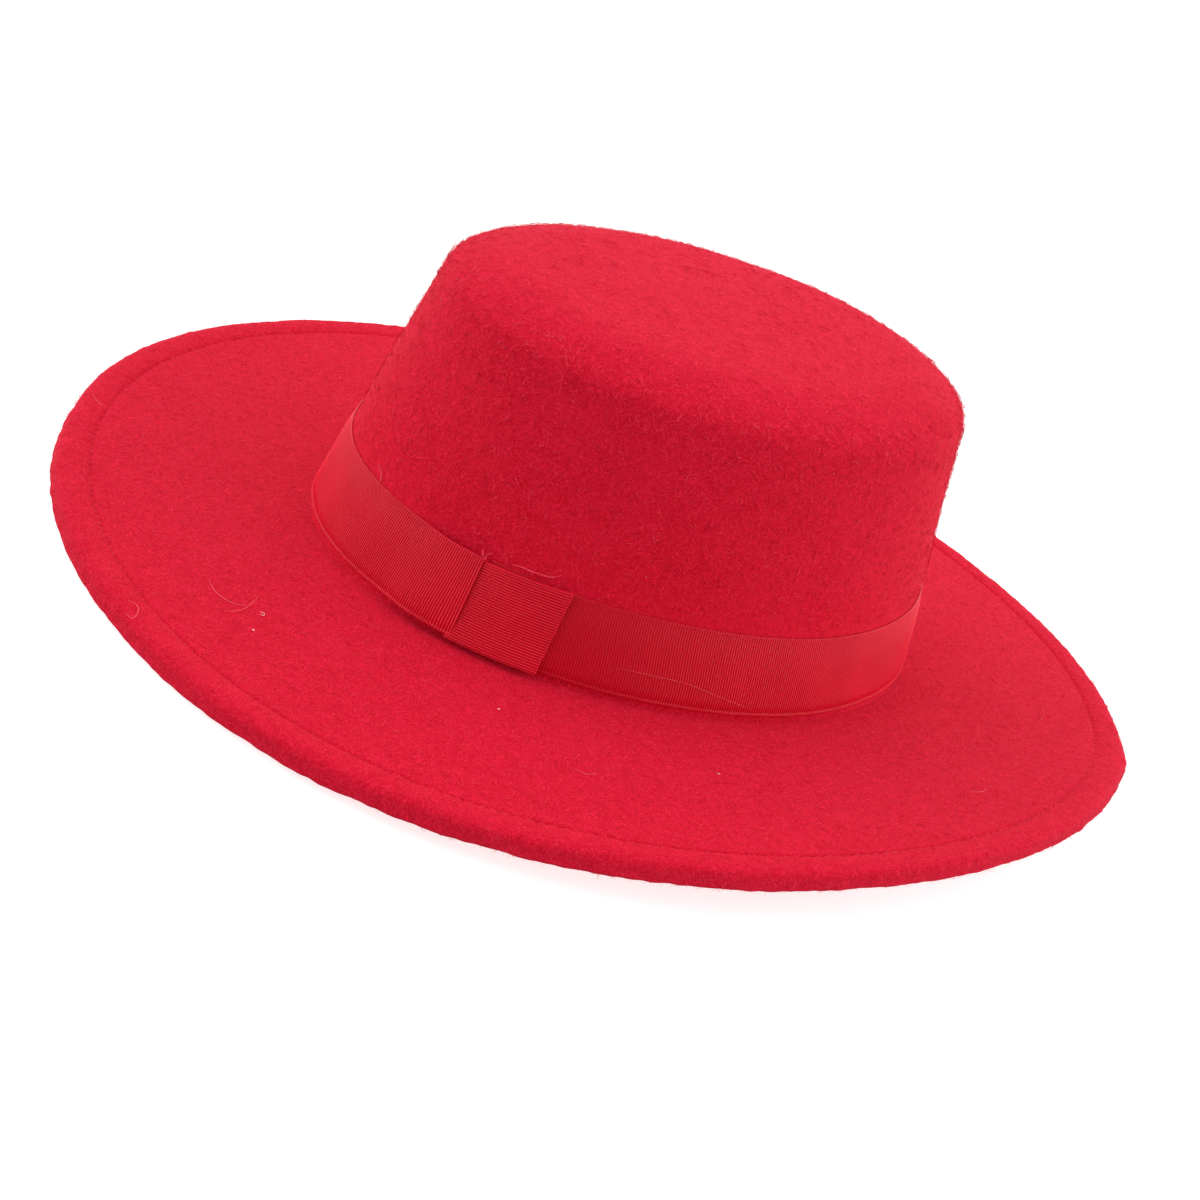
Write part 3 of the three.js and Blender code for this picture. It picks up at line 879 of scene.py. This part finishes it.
def grosgrain_band(material, tree):
    """Once round the crown from under the tab, then up over the tab to a folded end."""
    angles, lengths = wall_lengths(BAND_HIDDEN_END, BAND_FOLD, RIBBON_WIDTH / 2)
    length = lengths[-1]
    ribs = round(length / RIB_PITCH)
    bend = 0.4  # Of the fold that ends the band.
    pressed_width, closer = 8, 0.5  # The upper edge lies this much closer to the felt than in the part.
    thinner = 0.45  # The climb over the tab is this much thinner than in the part.

    def place(number, across, depth):
        along = number / ribs * length
        to_fold = length - along
        angle = np.interp(along, lengths, angles)
        climb = smoothstep(angle, BAND_CLIMB_FROM, BAND_CLIMB_TO)
        layer = lerp(BAND_LAYER, FOLD_LAYER, climb) + RIBBON_LAYER
        ring = on_wall(angle, np.zeros_like(angle), 0.0)[:, :1]
        lean = np.interp(angle, *RIB_LEAN)
        along = along + lean * (smoothstep(across, 0, RIBBON_WIDTH) - 0.5)
        angle = np.interp(along, lengths, angles)
        fold = np.sqrt(np.clip(1 - ((bend - to_fold) / bend).clip(0, 1) ** 2, 0, 1))
        pressed = smoothstep(across, RIBBON_WIDTH - pressed_width, RIBBON_WIDTH)
        slack = unevenness(ring, RIBBON_SLACK) * (1 - pressed) - closer * pressed
        out = layer - bend + (bend + depth) * fold + slack * (1 - climb) - thinner * climb
        return on_wall(angle, across + unevenness(ring, RIBBON_SWAY), out)

    section = ribbon_section(RIBBON_WIDTH, SELVEDGE, 12)
    return ribbed_strip("grosgrain_band", material, tree, section, ribs, place, TAUT_AND_SHADED_RIBS)


def grosgrain_tab(material, tree):
    """A short ribbon wrapped up and over the band, its ends turned in to the felt above and below."""
    turn_in, bend = 0.7, 0.55
    low, high = -0.1, RIBBON_WIDTH - 0.3
    out = BAND_LAYER + RIBBON_LAYER + CLEARANCE + RIBBON_LAYER
    flared, flare_height = 0.8, 9  # The foot stands off the band and shades it.
    foot_slope, top_slope, foot_width = 0.3, 1.2, 0.95  # Sewn a little askew, narrower at its foot.
    quarter = bend * math.pi / 2
    marks = np.cumsum([turn_in, quarter, high - low, quarter, turn_in])
    ribs = round(marks[-1] / RIB_PITCH)
    angles, lengths = wall_lengths(TAB_FROM, TAB_TO, RIBBON_WIDTH / 2)
    width = lengths[-1]

    def place(number, across, depth):
        along = number / ribs * marks[-1]
        first = np.clip((along - marks[0]) / quarter, 0, 1) * math.pi / 2
        second = np.clip((along - marks[2]) / quarter, 0, 1) * math.pi / 2
        facing = -math.pi / 2 + first + second
        rise = np.clip(along - marks[1], 0, high - low)
        at_end = np.clip(along - marks[3], 0, turn_in)
        start = np.clip(along, 0, turn_in)
        flare = flared * (1 - smoothstep(rise, 0, flare_height))
        mid_out = out - bend - turn_in + start - at_end + flare
        radius = bend + depth
        height = low + rise + radius * np.sin(facing)
        slope = lerp(foot_slope, top_slope, height / RIBBON_WIDTH)
        height = height - (1 - across / RIBBON_WIDTH) * slope
        across = across * lerp(foot_width, 1.0, height / RIBBON_WIDTH)
        return on_wall(np.interp(across, lengths, angles), height, mid_out + radius * np.cos(facing))

    section = ribbon_section(width, PLAIN_EDGE, 26)
    return ribbed_strip("grosgrain_tab", material, tree, section, ribs, place)


def smooth_path(points, steps):
    """A smooth line through the points."""
    points = np.array(points, dtype=float)
    padded = np.concatenate([[2 * points[0] - points[1]], points, [2 * points[-1] - points[-2]]])
    line = []
    for a, b, c, d in zip(padded, padded[1:], padded[2:], padded[3:]):
        for t in np.arange(steps) / steps:
            cubic = 2 * b, c - a, 2 * a - 5 * b + 4 * c - d, 3 * b - a - 3 * c + d
            line.append(0.5 * sum(part * t**power for power, part in enumerate(cubic)))
    return np.array([*line, points[-1]])


def strand(path, radius):
    """Rings of a thin strand along a path, pointed at both ends."""
    tip, sides, across_all = 0.12, 5, (0.3, 0.2, 0.93)
    along = unit(np.gradient(path, axis=0))
    side = unit(np.cross(along, across_all))
    up = np.cross(side, along)
    taper = radius * np.sqrt(np.sin(np.linspace(tip, math.pi - tip, len(path))))[:, None, None]
    turn = (np.arange(sides) * TURN / sides)[None, :, None]
    return path[:, None] + taper * (np.cos(turn) * side[:, None] + np.sin(turn) * up[:, None])


# Loose strands, each with its thickness in mm and points on it: the angle in degrees, the half length
# on the brim or the height up the wall, and how far it stands off.
STRAY_FIBRES_ON_BRIM = (
    (0.08, (
        (15.2, 146.6, 0.9), (17.2, 147.1, 0.5), (19.0, 146.2, 0.3),
        (20.2, 144.6, 0.3), (21.0, 142.4, 0.5),
    )),
    (0.07, ((21.2, 149.5, 0.4), (21.6, 145.2, 0.3), (21.0, 141.0, 0.4), (20.0, 137.0, 1.0))),
    (0.08, (
        (17.2, 173.0, 0.6), (18.2, 171.8, 0.5), (19.3, 173.4, 0.5),
        (19.9, 176.0, 0.6), (19.2, 177.0, 1.2),
    )),
    (0.08, ((-24.0, 173.5, 0.6), (-22.9, 170.6, 0.4), (-22.4, 168.6, 0.5))),
    (0.07, ((66.0, 141.0, 0.5), (67.2, 142.0, 0.4), (68.5, 141.2, 0.6))),
    (0.07, ((118.0, 150.0, 0.4), (119.6, 151.6, 0.5), (121.0, 151.0, 0.7))),
)
STRAY_FIBRES_ON_WALL = (
    (0.08, ((9.2, 29.0, 0.8), (11.2, 27.6, 0.6), (13.2, 26.0, 1.6))),
    (0.045, ((69.8, 8.5, 1.6), (76.0, 8.7, 1.5), (82.5, 8.3, 1.5), (89.0, 5.6, 1.5), (96.0, 2.5, 1.6))),
)
LOOSE_THREADS_ON_WALL = (
    (0.22, (
        (46.6, 26.6, 1.0), (48.2, 27.2, 1.5), (50.3, 27.3, 1.7),
        (52.2, 27.5, 1.6), (54.0, 27.8, 1.2), (55.4, 29.2, 0.8),
    )),
    (0.16, ((42.4, 25.2, 3.9), (41.5, 26.4, 3.7), (40.9, 27.9, 2.6))),
    (0.14, ((42.4, 25.3, 4.0), (42.3, 26.8, 4.0), (43.0, 27.9, 3.2))),
)
LINT_ON_BRIM = (
    (0.15, ((55.0, 124.0, 0.4), (55.25, 124.25, 0.5), (55.4, 124.1, 0.4))),
    (0.17, ((25.4, 147.6, 0.4), (25.6, 147.4, 0.5), (25.75, 147.5, 0.4))),
    (0.08, ((22.7, 140.2, 0.4), (23.2, 139.9, 0.6), (23.6, 140.6, 0.6), (23.2, 141.2, 0.5))),
    (0.1, ((84.0, 131.0, 0.4), (84.2, 131.4, 0.5), (84.4, 131.2, 0.4))),
)


def over_brim(angle, half_length, off):
    """Points that stand off the brim's upper face, over the hem too, which is thicker."""
    height = brim_top(half_length) + 0.6 * smoothstep(half_length, 166, 172)
    points = on_felt(angle, half_length, height)
    points[..., 2] += felt_waves(points, angle, half_length) + off
    return points


def loose_strands(name, material, table, surface):
    strands = []
    for thickness, points in table:
        angle, place, off = smooth_path(points, 8).T
        strands.append(strand(surface(np.radians(angle), place, off), thickness))
    return bundle(name, strands, material)


def make_hat():
    felt = finish("brushed_wool_felt", brushed_felt)
    fibre = finish("brushed_wool_fibre", brushed_fibre)
    grosgrain = finish("woven_rayon_grosgrain", woven_grosgrain)
    thread = finish("polyester_sewing_thread", twisted_thread, "#d01832", "#ee3850")
    yarn = finish("frayed_rayon_yarn", twisted_thread, "#e42a42", "#fa5268")
    # Long loose fibres on the nap, paler than the felt because light shines through them.
    stray = finish("stray_wool_fibre", speckled, 900.0, "#e63a52", "#ff8090", 0.6)
    # Specks of undyed fibre caught in the nap: nearly white.
    lint = finish("undyed_lint", speckled, 3000.0, "#f3b9c0", "#ffffff", 0.8)
    shell, above, below = felt_shell(felt)
    hem, hem_rings = felt_hem(felt, above, below)
    stitches = hem_stitches(thread, hem_rings)
    nap = felt_nap(fibre, NAP) + felt_nap(lint, LINT_SPECKS)
    ribs = rib_tree()
    band = grosgrain_band(grosgrain, ribs)
    tab = grosgrain_tab(grosgrain, ribs)
    strays = [
        loose_strands("stray_fibres_on_brim", stray, STRAY_FIBRES_ON_BRIM, over_brim),
        loose_strands("stray_fibres_on_wall", stray, STRAY_FIBRES_ON_WALL, on_wall),
        loose_strands("loose_threads_above_tab", yarn, LOOSE_THREADS_ON_WALL, on_wall),
        loose_strands("lint_on_brim", lint, LINT_ON_BRIM, over_brim),
    ]
    for made in (shell, hem):
        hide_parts("felt_body")
    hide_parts("ribbon_band")
    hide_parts("ribbon_tab")
    for made in (shell, hem, *stitches, *nap, *strays):
        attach(made, "root")
    for made in (band, tab):
        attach(made, "root")


def lay_floor():
    """A table as wide as the horizon. The world's ground glow stands for the light that it gives back."""
    far = 100e3
    corners = [(-far, -far, 0), (far, -far, 0), (far, far, 0), (-far, far, 0)]
    floor = piece("floor", corners, [(0, 1, 2, 3)], finish("white_lit_table", lit_table))
    floor.visible_diffuse = False


def light_studio():
    """A white dome, dim in front, with a large softbox on each side. The camera sees it plain white."""
    world = bpy.data.worlds.new("studio")
    world.use_nodes = True
    tree = world.node_tree
    tree.nodes.clear()
    way = add(tree, "ShaderNodeTexCoord").outputs["Generated"]
    toward = (math.sin(CAMERA_AZIMUTH), -math.cos(CAMERA_AZIMUTH), 0.0)
    sideways = (toward[1], -toward[0], 0.0)
    height = add(tree, "ShaderNodeSeparateXYZ", (way,)).outputs["Z"]
    front, side = (
        add(tree, "ShaderNodeVectorMath", (way, axis), operation="DOT_PRODUCT").outputs["Value"]
        for axis in (toward, sideways)
    )
    ahead = add(tree, "ShaderNodeMath", (front, 0.0), operation="MAXIMUM")
    behind = add(tree, "ShaderNodeMath", (front, -1.0), operation="MULTIPLY")
    behind = add(tree, "ShaderNodeMath", (behind, 0.0), operation="MAXIMUM")
    softboxes = add(tree, "ShaderNodeMath", (side, side), operation="MULTIPLY")
    glow = SKY_GLOW
    for share, strength in ((ahead, -FRONT_SHADE), (behind, BACK_GLOW), (softboxes, SOFTBOX_GLOW)):
        share = add(tree, "ShaderNodeMath", (share, strength), operation="MULTIPLY")
        glow = add(tree, "ShaderNodeMath", (glow, share), operation="ADD")
    glow = add(tree, "ShaderNodeMath", (glow, 0.0), operation="MAXIMUM")
    above = add(tree, "ShaderNodeMath", (height, 0.0), operation="GREATER_THAN")
    glow = add(tree, "ShaderNodeMath", (above, glow), operation="MULTIPLY")
    below = add(tree, "ShaderNodeMath", (1.0, above), operation="SUBTRACT")
    below = add(tree, "ShaderNodeMath", (below, GROUND_GLOW), operation="MULTIPLY")
    glow = add(tree, "ShaderNodeMath", (glow, below), operation="ADD")
    white = colour("#ffffff")
    lights = add(tree, "ShaderNodeBackground", {"Color": white, "Strength": glow})
    backdrop = add(tree, "ShaderNodeBackground", {"Color": white, "Strength": 1.0})
    seen = add(tree, "ShaderNodeLightPath").outputs["Is Camera Ray"]
    sky = add(tree, "ShaderNodeMixShader", (seen, lights, backdrop))
    add(tree, "ShaderNodeOutputWorld", {"Surface": sky})
    bpy.context.scene.world = world


def place_camera():
    away = Vector((
        math.sin(CAMERA_AZIMUTH) * math.cos(CAMERA_ELEVATION),
        -math.cos(CAMERA_AZIMUTH) * math.cos(CAMERA_ELEVATION),
        math.sin(CAMERA_ELEVATION),
    ))
    right = (-away).cross(Vector((0, 0, 1))).normalized()
    up = right.cross(-away)
    rolled_right = math.cos(CAMERA_ROLL) * right + math.sin(CAMERA_ROLL) * up
    rolled_up = math.cos(CAMERA_ROLL) * up - math.sin(CAMERA_ROLL) * right
    data = bpy.data.cameras.new("camera")
    data.lens, data.sensor_width = CAMERA_LENS, FILM_WIDTH
    data.clip_end = FARTHEST_SEEN
    camera = bpy.data.objects.new("camera", data)
    turned = Matrix((rolled_right, rolled_up, away)).transposed().to_4x4()
    camera.matrix_world = Matrix.Translation((Vector(CAMERA_AIM) + away * CAMERA_DISTANCE) * MM) @ turned
    bpy.context.scene.collection.objects.link(camera)
    bpy.context.scene.camera = camera
    bpy.context.scene.view_settings.view_transform = "Standard"


place_camera()
make_hat()
lay_floor()
light_studio()
